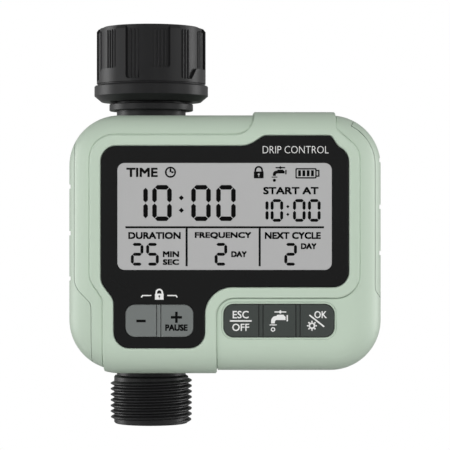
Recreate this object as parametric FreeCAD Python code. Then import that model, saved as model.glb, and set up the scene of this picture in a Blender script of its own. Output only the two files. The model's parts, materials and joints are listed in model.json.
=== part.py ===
"""Hose-end drip irrigation timer: clamshell housing, display and keys, motor-driven ball valve, battery bay.

Frame: millimetres, +Z up, -Y is the display side, and the origin is on the pipe axis at the
sealing face of the inlet washer, where a tap's end seats.
"""

import FreeCAD
import Part

import math
import os

from FreeCAD import Vector

# ---------------------------------------------------------------- driving dimensions
# Housing: a rounded box, seen from the front as X by Z, with its depth along Y
CASE_X0, CASE_X1 = -25.4, 73.4
CASE_Z0, CASE_Z1 = -96.0, -15.2
CASE_CORNER_R = 16.0
FRONT_Y, BACK_Y = -26.0, 29.0
PART_Y = -8.0  # plane where the two shells meet
FRONT_EDGE_R, BACK_EDGE_R = 9.5, 6.0
WALL = 2.2
RIM = 4.4  # wall thickness beside the parting plane, where the gasket lies
RIM_DEPTH = 4.5
BEZEL_RISE = 1.05
BEZEL_LINE, BEZEL_LINE_DEPTH = 0.32, 0.4  # width and depth of the fine groove round the bezel's foot
SEAM = 0.14  # gap between the front shell and the side bands of the rear shell
OVER = 4.0  # how far a cutter starts outside the housing
GASKET_W, GASKET_IN = 1.5, 3.7  # width of the gasket groove, and how far in its inner side lies
SCREW_SEAT_Y = 16.0
SCREW_R, SCREW_HEAD_R = 1.2, 2.7

# Display
LENS_T = 1.6
LENS_Y = -26.65
LENS_GAP = 0.12
WINDOW = (-9.6, 57.4, -64.1, -30.6)  # x0, x1, z0, z1 of the clear window
LCD = (-12.2, 59.8, -66.3, -28.3)
LCD_Y0, LCD_Y1 = -24.9, -22.15
BOARD_Y0, BOARD_Y1 = -20.5, -18.9
BOARD = (-13.0, 61.0, -84.0, -24.6)

# Keys: two on the lens, three on the housing
KEY_Z0, KEY_Z1 = -85.0, -74.9
KEY_MID_Z = -80.0
KEY_R = 3.0
KEY_GAP = 0.18
KEY_TRAVEL = 0.8
KEY_BACK_Y = -23.9  # back of the caps at rest
KEY_STEM_R = 2.2
SHEET_Y0, SHEET_Y1 = -23.78, -22.7  # the rubber sheet behind the caps
TACT_TOP_Y = -22.0
GREY_X = (-7.1, 14.1)
GREY_BARS = ((2.75, 3.85),)
GREY_Y = -26.95
DARK_X = (23.7, 58.1)
DARK_BARS = ((34.7, 35.8), (46.3, 47.4))
DARK_Y = -26.55

# Pipe: G 3/4 thread, 1.814 mm pitch
PITCH = 1.814
MAJOR_R, MINOR_R = 13.22, 12.06
NUT_TOP, NUT_BOTTOM = 14.06, -10.2
NUT_R, NUT_RIM_R, NUT_RECESS_R = 17.7, 18.46, 16.75
NUT_GRIPS = 6
NUT_STEP = 0.5
RECESS_Z0, RECESS_Z1 = -3.3, 0.2  # the two bottoms of each stepped recess
TUBE_R, TUBE_BORE_R = 11.2, 8.0
OUTLET_END, OUTLET_THREAD_TOP = -114.3, -99.2
OUTLET_BORE_R = 8.2
PIPE_GAP = 0.25  # round the pipe, where it leaves the housing
ORING_Z = (-40.5, -67.8)
ORING_R, ORING_BED_R = 9.95, 9.6
CLIP_Z0, CLIP_Z1 = -26.6, -25.2
SPIGOT_R = 11.8
FLANGE_SCREW_R = 13.4

# Ball valve
BALL_Z, BALL_R, BALL_BORE_R = -55.0, 10.0, 6.0
BODY_R = 15.0
BODY_Z0, BODY_Z1 = -80.0, -30.0
STEM_R = 3.5
STEM_RINGS_X = (13.2, 16.0)
SQUARE = 4.4  # side of the stem's square, which drives the ball from the output gear
CHAMBER_R = 10.4
EAR_Y0, EAR_Y1 = 11.5, 15.5

# Gear train: every stage is 36 teeth against 12, so all centre distances are equal
MODULE = 0.6
GEAR_TEETH, PINION_TEETH = 36, 12
CENTRES = MODULE * (GEAR_TEETH + PINION_TEETH) / 2
PRESSURE = math.radians(25)
BACKLASH = 0.08
IDLER_Y, MOTOR_Y = 9.5, -9.8
IDLER_Z = BALL_Z - math.sqrt(CENTRES**2 - IDLER_Y**2)
MOTOR_Z = BALL_Z + math.sqrt(CENTRES**2 - MOTOR_Y**2)
BASE_X, BASE_T = 17.8, 1.5
LAYERS = ((19.8, 23.0), (23.5, 26.0), (26.7, 29.2))
COVER_X, COVER_T = 30.2, 1.6
GEARCASE = (-15.0, 21.8, -78.8, -37.0)  # y0, y1, z0, z1
POSTS = ((-12.3, -75.8), (19.2, -76.2), (18.8, -40.2), (0.0, -39.6))
PLATE_SCREW = 6.6  # the base is held by a square of four screws this far from the stem
IDLER_AT, MOTOR_AT = (IDLER_Y, IDLER_Z), (MOTOR_Y, MOTOR_Z)
MOTOR_R, MOTOR_END_X, MOTOR_SHAFT_R = 6.0, 46.8, 0.75
TAG_REACH = 2.2
MOTOR_SCREW, MOTOR_TAG = 4.3, 4.2  # above and below the motor's axis

# Battery bay: four AA cells, two wide and two deep
CELL_R, CELL_L = 7.1, 50.0
CELL_PITCH = 14.5
BAY = (37.0, 66.4, -83.3, -29.7)  # inside x0, x1, z0, z1
BAY_Y0 = -2.9
BAY_WALL = 1.6
LEAD_X = (42.0, 56.0)  # where the two battery leads leave the bay
DOOR_T = 1.8
DOOR = (35.2, 68.2, -86.2, -26.2)
HINGE_Y, HINGE_Z = 27.4, -25.6
HINGE_R, HINGE_PIN_R = 1.5, 0.8

# Where the screws stand, as (x, z)
SCREW_POSTS = (
    (-17.2, -24.0),
    (29.0, -20.7),
    (60.5, -20.7),
    (60.5, -90.5),
    (29.0, -90.5),
    (-14.2, -87.2),
)
VALVE_EARS = ((-18.0, -36.0), (-18.0, -74.0), (18.0, -33.0))
BOARD_POSTS = ((0.0, -26.4), (50.0, -26.4), (-10.5, -70.0), (58.0, -70.0))

PARTS = {}


# ---------------------------------------------------------------- outlines in the XZ plane
def offset_outline(points, d):
    """Moves each side of an outline of (x, z, radius) outwards by d.

    Its points run clockwise from the front.
    """
    moved = []
    n = len(points)
    for i in range(n):
        (ax, az, _), (bx, bz, r), (cx, cz, _) = points[i - 1], points[i], points[(i + 1) % n]
        ux, uz = unit(bx - ax, bz - az)
        vx, vz = unit(cx - bx, cz - bz)
        turn = ux * vz - uz * vx
        share = d / (1 + ux * vx + uz * vz)
        x = bx + share * (-uz - vz)
        z = bz + share * (ux + vx)
        grown = r + d if turn < 0 else r - d
        moved.append((x, z, max(0.0, grown) if r else 0.0))
    return moved


def unit(x, z):
    length = math.hypot(x, z)
    return x / length, z / length


def outline_wire(points, y):
    """A closed wire at depth y through the corners (x, z, radius), each rounded to its radius."""
    ends, edges = [], []
    n = len(points)
    for i in range(n):
        (ax, az, _), (bx, bz, r), (cx, cz, _) = points[i - 1], points[i], points[(i + 1) % n]
        ux, uz = unit(ax - bx, az - bz)
        vx, vz = unit(cx - bx, cz - bz)
        corner = Vector(bx, y, bz)
        if not r:
            ends.append((corner, corner, corner))
            continue
        half = math.acos(max(-1.0, min(1.0, ux * vx + uz * vz))) / 2
        reach = r / math.tan(half)
        wx, wz = unit(ux + vx, uz + vz)
        middle = r / math.sin(half) - r
        ends.append(
            (
                Vector(bx + ux * reach, y, bz + uz * reach),
                Vector(bx + wx * middle, y, bz + wz * middle),
                Vector(bx + vx * reach, y, bz + vz * reach),
            )
        )
    for i in range(n):
        start, middle, end = ends[i]
        if (end - start).Length > 1e-6:
            edges.append(Part.Arc(start, middle, end).toShape())
        following = ends[(i + 1) % n][0]
        if (following - end).Length > 1e-6:
            edges.append(Part.LineSegment(end, following).toShape())
    return Part.Wire(edges)


def prism(points, y0, y1):
    return Part.Face(outline_wire(points, y0)).extrude(Vector(0, y1 - y0, 0))


def rectangle(x0, x1, z0, z1, r=0.0):
    return [(x0, z1, r), (x1, z1, r), (x1, z0, r), (x0, z0, r)]


def case_outline(d=0.0):
    return rectangle(CASE_X0 - d, CASE_X1 + d, CASE_Z0 - d, CASE_Z1 + d, CASE_CORNER_R + d)


LENS_OUTLINE = [
    (-14.84, -25.3, 4.8),
    (31.2, -25.3, 8.0),
    (36.2, -22.1, 2.5),
    (57.2, -22.1, 1.6),
    (59.2, -25.3, 4.0),
    (62.7, -27.6, 5.0),
    (62.7, -69.4, 4.8),
    (17.7, -69.4, 8.6),
    (17.7, -88.5, 5.0),
    (-10.8, -88.5, 5.0),
    (-10.8, -73.3, 4.5),
    (-14.84, -68.0, 5.5),
]
BEZEL_OUTLINE = [
    (-18.4, -21.75, 7.5),
    (33.0, -21.75, 6.0),
    (33.0, -8.0, 0),
    (58.9, -8.0, 0),
    (58.9, -20.0, 3.0),
    (66.1, -26.3, 7.0),
    (66.1, -72.9, 7.5),
    (21.4, -72.9, 5.5),
    (21.4, -105.0, 0),
    (-14.3, -105.0, 0),
    (-14.3, -73.2, 3.5),
    (-18.4, -67.0, 5.5),
]
# The front shell stops at this line; what lies outside it is the rear shell, wrapping forwards
FRONT_OUTLINE = [
    (-23.4, 0.0, 0),
    (66.5, 0.0, 0),
    (66.5, -13.4, 0),
    (63.66, -18.9, 0),
    (71.2, -22.74, 13.7),
    (71.2, -70.6, 3.0),
    (75.5, -76.0, 0),
    (75.5, -110.0, 0),
    (-17.9, -110.0, 0),
    (-17.9, -74.6, 3.5),
    (-23.4, -69.2, 6.0),
]


# ---------------------------------------------------------------- plain solids
def box(x0, x1, y0, y1, z0, z1):
    return Part.makeBox(x1 - x0, y1 - y0, z1 - z0, Vector(x0, y0, z0))


def rod(r, start, end):
    start, end = Vector(*start), Vector(*end)
    return Part.makeCylinder(r, (end - start).Length, start, end - start)


def pipe(r, bore, start, end):
    return rod(r, start, end).cut(rod(bore, start, end))


def upright(r, z0, z1, x=0.0, y=0.0):
    return rod(r, (x, y, z0), (x, y, z1))


def turned(profile, x=0.0, y=0.0):
    """A solid of revolution about a vertical line, from (radius, z) corners."""
    corners = [Vector(r, 0, z) for r, z in profile]
    face = Part.Face(Part.makePolygon(corners + corners[:1]))
    solid = face.revolve(Vector(0, 0, 0), Vector(0, 0, 1), 360)
    solid.translate(Vector(x, y, 0))
    return solid


def ring(r, section_r, centre, axis):
    return Part.makeTorus(r, section_r, Vector(*centre), Vector(*axis))


def joined(shapes):
    first, *others = shapes
    return first.multiFuse(others).removeSplitter() if others else first


def group(shapes):
    return Part.makeCompound(shapes)


def rounded(shape, r, chosen):
    """Fillets the edges that chosen() picks."""
    return shape.makeFillet(r, [e for e in shape.Edges if chosen(e)])


def at_depth(y):
    return lambda e: abs(e.BoundBox.YMin - y) < 1e-4 and abs(e.BoundBox.YMax - y) < 1e-4


def add(name, shape):
    PARTS[name] = shape


# ---------------------------------------------------------------- housing
def case_solid(d=0.0):
    """The whole closed housing, or one grown by d over its front, top, bottom and sides."""
    solid = prism(case_outline(d), FRONT_Y - d, BACK_Y)
    solid = rounded(solid, FRONT_EDGE_R + d, at_depth(FRONT_Y - d))
    return rounded(solid, BACK_EDGE_R + d, at_depth(BACK_Y))


def bezel_solid(grown):
    """The raised band round the lens, running over the top and the bottom edge, with soft edges."""
    band = prism(BEZEL_OUTLINE, FRONT_Y - OVER, PART_Y).common(grown)
    band = band.cut(lens_seat())

    def on_skin(edge):
        middle = edge.valueAt((edge.FirstParameter + edge.LastParameter) / 2)
        point = Part.Vertex(middle)
        if middle.y > PART_Y - 0.01 or min(f.distToShape(point)[0] for f in grown.Faces) > 1e-3:
            return False
        sharp = [f for f in band.Faces if any(e.isSame(edge) for e in f.Edges)]
        tilts = [f.normalAt(*f.Surface.parameter(middle)) for f in sharp]
        return len(tilts) == 2 and abs(tilts[0].dot(tilts[1])) < 0.8

    edges = [e for e in band.Edges if on_skin(e)]
    return band.makeFillet(0.55, edges)


def bezel_line():
    """The fine groove round the foot of the bezel, as a cutter."""
    outer = prism(offset_outline(BEZEL_OUTLINE, BEZEL_LINE), FRONT_Y - OVER, PART_Y + 1)
    line = outer.cut(prism(BEZEL_OUTLINE, FRONT_Y - OVER - 1, PART_Y + 2))
    return line.cut(case_solid(-BEZEL_LINE_DEPTH))


def lens_seat():
    return prism(offset_outline(LENS_OUTLINE, LENS_GAP), FRONT_Y - OVER, LENS_Y + LENS_T + 0.05)


def pipe_hole(gap):
    return upright(TUBE_R + gap, CASE_Z0 - OVER, CASE_Z1 + OVER)


def key_pocket(xs, grow, y0, y1):
    return prism(rectangle(xs[0] - grow, xs[1] + grow, KEY_Z0 - grow, KEY_Z1 + grow, KEY_R + grow), y0, y1)


def front_shell(base, grown):
    shell = base.common(prism(FRONT_OUTLINE, FRONT_Y - OVER, PART_Y))
    shell = shell.cut(bezel_line()).fuse(bezel_solid(grown))
    inner_y = FRONT_Y + WALL
    hollow = rounded(prism(case_outline(-WALL), inner_y, PART_Y), FRONT_EDGE_R - WALL, at_depth(inner_y))
    hollow = hollow.common(prism(offset_outline(FRONT_OUTLINE, -2.0), FRONT_Y, PART_Y - RIM_DEPTH))
    throat = prism(case_outline(-RIM), PART_Y - RIM_DEPTH - 0.5, PART_Y + 1)
    shell = shell.cut(hollow).cut(throat).cut(lens_seat())
    x0, x1, z0, z1 = LCD
    shell = shell.cut(box(x0 - 0.2, x1 + 0.2, FRONT_Y, inner_y + 1, z0 - 0.2, z1 + 0.2))
    shell = shell.cut(key_pocket(GREY_X, 0.2, FRONT_Y - OVER, inner_y + 1))
    shell = shell.cut(key_pocket(DARK_X, 0.25, FRONT_Y - OVER, inner_y + 1))
    dish_y = FRONT_Y + 0.35
    shell = shell.cut(rounded(key_pocket(DARK_X, 0.9, FRONT_Y - 1, dish_y), 0.3, at_depth(dish_y)))
    posts = []
    for x, z in SCREW_POSTS:
        post = rod(3.0, (x, inner_y - 0.6, z), (x, PART_Y, z))
        posts.append(post.common(base))
    for x, z in BOARD_POSTS:
        posts.append(pipe(1.5, 0.8, (x, inner_y - 0.1, z), (x, BOARD_Y0, z)))
    shell = joined([shell, *posts])
    for x, z in SCREW_POSTS:
        shell = shell.cut(rod(SCREW_R + 0.05, (x, inner_y + 0.3, z), (x, PART_Y + 1, z)))
    return shell.cut(pipe_hole(PIPE_GAP))


def grip_grooves():
    """Shallow cross cuts in both side bands, for a wet hand."""
    cuts = []
    for x, heights in ((CASE_X0, (-37.8, -52.6, -67.0)), (CASE_X1, (-29.4, -44.2, -58.9))):
        for z in heights:
            cuts.append(box(x - 0.6, x + 0.6, -24, 22, z - 0.7, z + 0.7))
    return cuts


def rear_tabs(grown):
    """The band of the front shell carries on over the top and bottom of the rear shell."""
    end = BACK_Y - BACK_EDGE_R - BEZEL_RISE - 0.5
    top = prism(rectangle(33.0, 58.9, -22.0, -8.0), PART_Y, end)
    bottom = prism(rectangle(-14.3, 21.4, -105.0, -90.0), PART_Y, end)
    return [grown.common(top), grown.common(bottom)]


def bay_box(grow, y0, y1, r=0.0):
    x0, x1, z0, z1 = BAY
    return prism(rectangle(x0 - grow, x1 + grow, z0 - grow, z1 + grow, r), y0, y1)


def rear_shell(base, grown):
    wrap = base.cut(prism(offset_outline(FRONT_OUTLINE, SEAM), FRONT_Y - OVER, PART_Y))
    shell = wrap.fuse(rear_tabs(grown))
    inner_y = BACK_Y - WALL
    hollow = prism(case_outline(-WALL), PART_Y + RIM_DEPTH, inner_y)
    hollow = rounded(hollow, BACK_EDGE_R - WALL, at_depth(inner_y))
    throat = prism(case_outline(-RIM), PART_Y - 1, PART_Y + RIM_DEPTH + 0.5)
    # the lower front corner, which wraps forwards beside the front shell, is hollow too
    corner = prism(rectangle(-23.2, -20.1, -86.0, -77.5, 1.4), FRONT_Y + 6, PART_Y + 1)
    shell = shell.cut(hollow).cut(throat).cut(corner)
    bay = bay_box(BAY_WALL, BAY_Y0 - BAY_WALL, inner_y + 0.2)
    frame = bay_box(3.2, 24.6, BACK_Y - 0.2).common(base)
    posts = [rod(3.2, (x, PART_Y, z), (x, BACK_Y - 1, z)).common(base) for x, z in SCREW_POSTS]
    bosses = [rod(3.0, (x, EAR_Y1 + 0.05, z), (x, BACK_Y - 1, z)) for x, z in VALVE_EARS]
    x0, x1, z0, z1 = DOOR
    hinge_bed = box(x0 - 1.5, x1 + 1.0, 24.4, BACK_Y - 1.0, HINGE_Z - 2.5, HINGE_Z + 2.6).common(base)
    shell = joined([shell, bay, frame, hinge_bed, *posts, *bosses])
    shell = shell.cut(bay_box(0.0, BAY_Y0, BACK_Y + 1, 1.0))
    for cutter in [*door_cutters(), *grip_grooves()]:
        shell = shell.cut(cutter)
    for x, z in SCREW_POSTS:
        shell = shell.cut(rod(SCREW_R + 0.4, (x, PART_Y - 1, z), (x, BACK_Y + 1, z)))
        shell = shell.cut(rod(SCREW_HEAD_R + 0.2, (x, SCREW_SEAT_Y, z), (x, BACK_Y + 1, z)))
    for x in LEAD_X:
        shell = shell.cut(box(x - 1.05, x + 1.05, 7.55, 8.05, BAY[3] - 1, BAY[3] + 3))
    for x, z in VALVE_EARS:
        shell = shell.cut(rod(1.0, (x, EAR_Y1 - 0.5, z), (x, 24, z)))
    return shell.cut(gasket_ring(0.0, PART_Y - 0.1, PART_Y + 1.5)).cut(pipe_hole(PIPE_GAP))


def door_cutters():
    """Everything the battery door needs cut into the back: its seat, seal groove, hinge and finger scoop."""
    x0, x1, z0, z1 = DOOR
    seat_y = BACK_Y - DOOR_T - 0.1
    seat = prism(rectangle(x0 - 0.3, x1 + 0.3, z0 - 0.3, z1 + 0.2, 2.3), seat_y, BACK_Y + 1)
    seal = bay_box(2.1, seat_y - 0.7, BACK_Y + 1, 1.6).cut(bay_box(0.7, seat_y - 2, BACK_Y + 2, 1.2))
    roll_r = HINGE_R + 0.35
    roll = hinge_rod(roll_r, 2.8)
    mouth = box(x0 + 2.8, x1 - 2.8, HINGE_Y, BACK_Y + 1, HINGE_Z - 2, HINGE_Z + roll_r)
    scoop = Part.makeSphere(7.0, Vector((x0 + x1) / 2, BACK_Y + 5.7, z0 - 1.2))
    return [seat, seal, roll, mouth, hinge_rod(HINGE_PIN_R, 1.0), scoop]


def hinge_rod(r, inset):
    """A rod on the hinge line, ending inset from both sides of the door."""
    return rod(r, (DOOR[0] + inset, HINGE_Y, HINGE_Z), (DOOR[1] - inset, HINGE_Y, HINGE_Z))


def gasket_ring(gap, y0, y1):
    """A band round the rim, narrower than its groove by gap on both sides."""
    inner, outer = GASKET_IN - gap, GASKET_IN - GASKET_W + gap
    band = prism(case_outline(-outer), y0, y1).cut(prism(case_outline(-inner), y0 - 1, y1 + 1))
    return band.cut(pipe_hole(3.2 + gap))


def make_housing():
    base, grown = case_solid(), case_solid(BEZEL_RISE)
    add("front_shell", front_shell(base, grown))
    add("rear_shell", rear_shell(base, grown))
    add("case_gasket", gasket_ring(0.1, PART_Y + 0.02, PART_Y + 1.4))
    seats = [(x, SCREW_SEAT_Y, z) for x, z in SCREW_POSTS]
    add("case_screws", group([screw(seat, (0, -1, 0), SCREW_HEAD_R, 1.8, SCREW_R, 30.0) for seat in seats]))


def screw(seat, towards, head_r, head_h, shank_r, length):
    """A pan-head cross-recess screw: its head stands on seat, and its shank runs from there along towards."""
    seat, towards = Vector(*seat), Vector(*towards)
    top = seat - towards * head_h
    tip_length = 1.7
    head = Part.makeCylinder(head_r, head_h, top, towards)
    head = rounded(head, head_h * 0.45, lambda edge: centred(edge, top))
    shank = Part.makeCylinder(shank_r, length - tip_length + 0.2, seat - towards * 0.2, towards)
    tip = Part.makeCone(shank_r, 0.25, tip_length, seat + towards * (length - tip_length), towards)
    body = head.fuse([shank, tip])
    side = towards.cross(Vector(1, 0, 0) if abs(towards.x) < 0.9 else Vector(0, 1, 0))
    side.normalize()
    for arm in (side, towards.cross(side)):
        across = towards.cross(arm)
        corner = top - towards * 0.1 - arm * head_r * 0.62 - across * 0.3
        slot = Part.makeBox(0.6, head_r * 1.24, head_h * 0.65)
        rows = [(across.x, arm.x, towards.x, corner.x)]
        rows.append((across.y, arm.y, towards.y, corner.y))
        rows.append((across.z, arm.z, towards.z, corner.z))
        turn = FreeCAD.Matrix(*rows[0], *rows[1], *rows[2], 0, 0, 0, 1)
        body = body.cut(slot.transformGeometry(turn))
    return body


def centred(edge, centre):
    """Is this a round edge about centre?"""
    return hasattr(edge.Curve, "Center") and (edge.Curve.Center - centre).Length < 1e-6


# ---------------------------------------------------------------- display and electronics
def make_display():
    lens = prism(LENS_OUTLINE, LENS_Y, LENS_Y + LENS_T)
    lens = rounded(lens, 0.25, at_depth(LENS_Y))
    lens = lens.cut(key_pocket(GREY_X, 0.15, LENS_Y - 1, LENS_Y + LENS_T + 1))
    add("display_lens", lens)
    x0, x1, z0, z1 = LCD
    front = prism(rectangle(x0, x1, z0 + 3.0, z1, 0.4), LCD_Y0, LCD_Y0 + 1.3)
    back = prism(rectangle(x0, x1, z0, z1, 0.4), LCD_Y0 + 1.3, LCD_Y1)
    add("lcd_panel", joined([front, back]))
    frame = prism(rectangle(x0 - 0.1, x1 + 0.1, z0 + 2.6, z1 + 0.1, 1.0), LCD_Y1, BOARD_Y0)
    frame = frame.cut(box(x0 + 2, x1 - 2, LCD_Y1 + 0.8, BOARD_Y0 + 1, z0 + 5, z1 - 2))
    add("lcd_light_frame", frame)
    add("lcd_contact_strip", box(x0 + 4, x1 - 4, LCD_Y1, BOARD_Y0, z0 + 0.4, z0 + 2.3))


def make_board():
    x0, x1, z0, z1 = BOARD
    board = prism(rectangle(x0, x1, z0, z1, 2.0), BOARD_Y0, BOARD_Y1)
    for x, z in BOARD_POSTS:
        board = board.cut(rod(1.1, (x, BOARD_Y0 - 1, z), (x, BOARD_Y1 + 1, z)))
    add("circuit_board", board)
    seats = [(x, BOARD_Y1, z) for x, z in BOARD_POSTS]
    add("board_screws", group([screw(seat, (0, -1, 0), 2.0, 1.2, 0.78, 4.6) for seat in seats]))
    add("controller_chip", chip(22.0, -44.0, 10.0, 10.0, 8))
    add("driver_chip", chip(38.0, -58.0, 5.0, 4.0, 4))
    add("storage_capacitors", group([can_part(x, -76.0, 3.15, 3.4) for x in (24.0, 32.0)]))
    x, z = 48.0, -77.0
    add("buzzer", can_part(x, z, 5.0, 3.2).cut(rod(0.9, (x, BOARD_Y1 + 1.9, z), (x, BOARD_Y1 + 4, z))))
    switches = []
    for x in key_centres():
        case = box(x - 2.6, x + 2.6, TACT_TOP_Y + 0.4, BOARD_Y0, KEY_MID_Z - 2.6, KEY_MID_Z + 2.6)
        button = key_rod(1.5, x, TACT_TOP_Y, TACT_TOP_Y + 0.5)
        switches.append(joined([case, button]))
    add("tact_switches", group(switches))


def chip(x, z, width, height, legs):
    """A flat chip on the back of the board, with a row of legs along each side."""
    x0, x1 = x - width / 2, x + width / 2
    z0, z1 = z - height / 2, z + height / 2
    pieces = [box(x0, x1, BOARD_Y1 + 0.15, BOARD_Y1 + 1.5, z0, z1)]
    for i in range(legs):
        at = z0 + height / legs * (i + 0.5)
        pieces.append(box(x0 - 1.0, x1 + 1.0, BOARD_Y1, BOARD_Y1 + 0.4, at - 0.2, at + 0.2))
    return joined(pieces)


def can_part(x, z, r, height):
    foot = box(x - r, x + r, BOARD_Y1, BOARD_Y1 + 0.8, z - r, z + r)
    return foot.fuse(rod(r * 0.96, (x, BOARD_Y1 + 0.5, z), (x, BOARD_Y1 + height, z)))


# ---------------------------------------------------------------- keys
def key_spans():
    """(name, x0, x1, front y) of each key, between the bars and the ends of its pocket."""
    spans = []
    for xs, bars, y, names in (
        (GREY_X, GREY_BARS, GREY_Y, ("key_minus", "key_plus")),
        (DARK_X, DARK_BARS, DARK_Y, ("key_escape", "key_manual", "key_confirm")),
    ):
        starts = [xs[0], *(bar[1] + KEY_GAP for bar in bars)]
        ends = [*(bar[0] - KEY_GAP for bar in bars), xs[1]]
        spans += [(name, a, b, y) for name, a, b in zip(names, starts, ends)]
    return spans


def key_centres():
    return [(a + b) / 2 for _, a, b, _ in key_spans()]


def key_rod(r, x, y0, y1):
    return rod(r, (x, y0, KEY_MID_Z), (x, y1, KEY_MID_Z))


def make_keys():
    for name, a, b, y in key_spans():
        xs = GREY_X if y == GREY_Y else DARK_X
        between = box(a, b, y - 1, KEY_BACK_Y + 1, KEY_Z0 - 1, KEY_Z1 + 1)
        cap = rounded(key_pocket(xs, 0.0, y, KEY_BACK_Y).common(between), 0.3, at_depth(y))
        stem = key_rod(KEY_STEM_R, (a + b) / 2, KEY_BACK_Y - 0.1, TACT_TOP_Y - KEY_TRAVEL - 0.05)
        add(name, joined([cap, stem]))
    add("keypad_grey", keypad(GREY_X, GREY_BARS, GREY_Y))
    add("keypad_dark", keypad(DARK_X, DARK_BARS, DARK_Y))


def keypad(xs, bars, y):
    """The rubber sheet behind one row of keys, with a well for their travel and the bars between them."""
    sheet = key_pocket(xs, 1.45, SHEET_Y0, SHEET_Y1)
    sheet = sheet.cut(key_pocket(xs, KEY_GAP - 0.06, SHEET_Y0 - 1, KEY_BACK_Y + KEY_TRAVEL + 0.05))
    for _, a, b, front in key_spans():
        if front == y:
            sheet = sheet.cut(key_rod(KEY_STEM_R + 1.2, (a + b) / 2, SHEET_Y0 - 1, SHEET_Y1 + 1))
    pieces = [sheet]
    for x0, x1 in bars:
        bar = box(x0, x1, y + 0.1, SHEET_Y1 - 0.1, KEY_Z0 + 0.02, KEY_Z1 - 0.02)
        pieces.append(rounded(bar, 0.12, at_depth(y + 0.1)))
    return joined(pieces)


# ---------------------------------------------------------------- pipe fittings
def thread_turns(first, count, crest_r):
    """Corners of a thread's turns, downwards from the first: each goes from the root to crest_r and back."""
    root_r = MAJOR_R + MINOR_R - crest_r
    corners = []
    for i in range(count):
        z = first - i * PITCH
        corners += [(root_r, z + 0.76), (crest_r, z + 0.2), (crest_r, z - 0.2), (root_r, z - 0.76)]
    return corners


def grip_recess():
    """One stepped recess of the nut, with its bottom lower on the left, as a cutter."""
    centre = math.radians(-2)
    # (angle, z, corner radius)
    corners = [
        (-25.5, 16.0, 0),
        (22.0, 16.0, 0),
        (22.0, RECESS_Z1, 0.8),
        (-2.5, RECESS_Z1, 1.0),
        (-11.0, RECESS_Z0, 1.0),
        (-25.5, RECESS_Z0, 1.0),
    ]
    flat = [(NUT_R * math.sin(math.radians(a) - centre), z, r) for a, z, r in corners]
    cutter = prism(flat, -NUT_R - 3, -NUT_R * 0.5)
    cutter.rotate(Vector(0, 0, 0), Vector(0, 0, 1), math.degrees(centre))
    return cutter.cut(upright(NUT_RECESS_R, -20, 20))


def make_nut():
    profile = [
        (MINOR_R, NUT_TOP),
        (NUT_R - 2.2, NUT_TOP),
        (NUT_R - 2.2, NUT_TOP - NUT_STEP),
        (NUT_R - 0.7, NUT_TOP - NUT_STEP),
        (NUT_R, NUT_TOP - 1.4),
        (NUT_R, -4.2),
        (NUT_R - 0.35, -4.35),
        (NUT_R - 0.35, -4.6),
        (NUT_RIM_R - 0.25, -4.9),
        (NUT_RIM_R, -5.2),
        (NUT_RIM_R, -8.2),
        (16.2, NUT_BOTTOM + 0.1),
        (15.4, NUT_BOTTOM),
        (11.5, NUT_BOTTOM),
        (11.5, -5.3),
        (13.5, -5.3),
        (13.5, 0.0),
        (MINOR_R, 0.0),
    ]
    nut = turned(profile).cut(Part.makeCone(MINOR_R, MAJOR_R + 0.3, 1.4, Vector(0, 0, NUT_TOP - 1.4)))
    recesses, ribs = [], []
    for i in range(NUT_GRIPS):
        turn = i * 360.0 / NUT_GRIPS
        recess = grip_recess()
        recess.rotate(Vector(0, 0, 0), Vector(0, 0, 1), turn)
        recesses.append(recess)
        ribs += [grip_rib(turn + angle, RECESS_Z0 - 0.1) for angle in (-21, -17, -13)]
        ribs += [grip_rib(turn + angle, RECESS_Z1 - 0.1) for angle in (6, 10, 14, 18)]
    nut = nut.cut(recesses).multiFuse(ribs)
    bore_r, bore_top = TUBE_BORE_R, 13.0
    turns = thread_turns(10.7, 6, MAJOR_R)
    inside = turned([(bore_r, bore_top), (MINOR_R, bore_top), *turns, (MINOR_R, 0.1), (bore_r, 0.1)])
    add("swivel_nut", nut.cut(inside))


def grip_rib(angle, bottom):
    """A fine upright rib in a recess, with a sloped top."""
    r, top = 0.42, NUT_TOP - 2.0
    turn = math.radians(angle - 90)
    x, y = (NUT_RECESS_R - 0.05) * math.cos(turn), (NUT_RECESS_R - 0.05) * math.sin(turn)
    return upright(r, bottom, top, x, y).fuse(Part.makeCone(r, 0.05, 0.7, Vector(x, y, top)))


def make_inlet():
    tube = turned([
        (TUBE_BORE_R, -2.2),
        (12.9, -2.2),
        (12.9, -4.95),
        (TUBE_R, -4.95),
        (TUBE_R, -30.0),
        (ORING_BED_R, -31.0),
        (ORING_BED_R, -43.4),
        (TUBE_BORE_R - 1, -43.4),
        (TUBE_BORE_R - 1, -36.0),
        (TUBE_BORE_R, -30.0),
    ])
    tube = tube.cut(turned([(10.2, CLIP_Z1), (12.0, CLIP_Z1), (12.0, CLIP_Z0), (10.2, CLIP_Z0)]))
    add("inlet_tail", tube.cut(oring_groove(ORING_Z[0])))
    inner_r = TUBE_R + 0.02
    add("nut_collar", turned([
        (inner_r, -10.75),
        (13.35, -10.75),
        (13.6, -11.0),
        (13.6, -12.8),
        (13.35, -13.0),
        (inner_r, -13.0),
    ]))
    add("inlet_washer", turned([(8.6, 0.0), (11.9, 0.0), (12.9, -0.9), (12.9, -2.2), (8.6, -2.2)]))
    add("inlet_filter", filter_screen())
    add("inlet_oring", pipe_oring(ORING_Z[0]))
    clip = pipe(12.6, 10.25, (0, 0, CLIP_Z0 + 0.1), (0, 0, CLIP_Z1 - 0.1))
    add("tail_clip", clip.cut(box(-7.0, 7.0, 0.0, 20, CLIP_Z0, CLIP_Z1)))


def oring_groove(z):
    return ring(ORING_BED_R, 0.85, (0, 0, z), (0, 0, 1))


def pipe_oring(z):
    """An O-ring squeezed flat against the chamber wall."""
    return ring(ORING_R, 0.8, (0, 0, z), (0, 0, 1)).common(upright(CHAMBER_R - 0.05, z - 2, z + 2))


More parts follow.
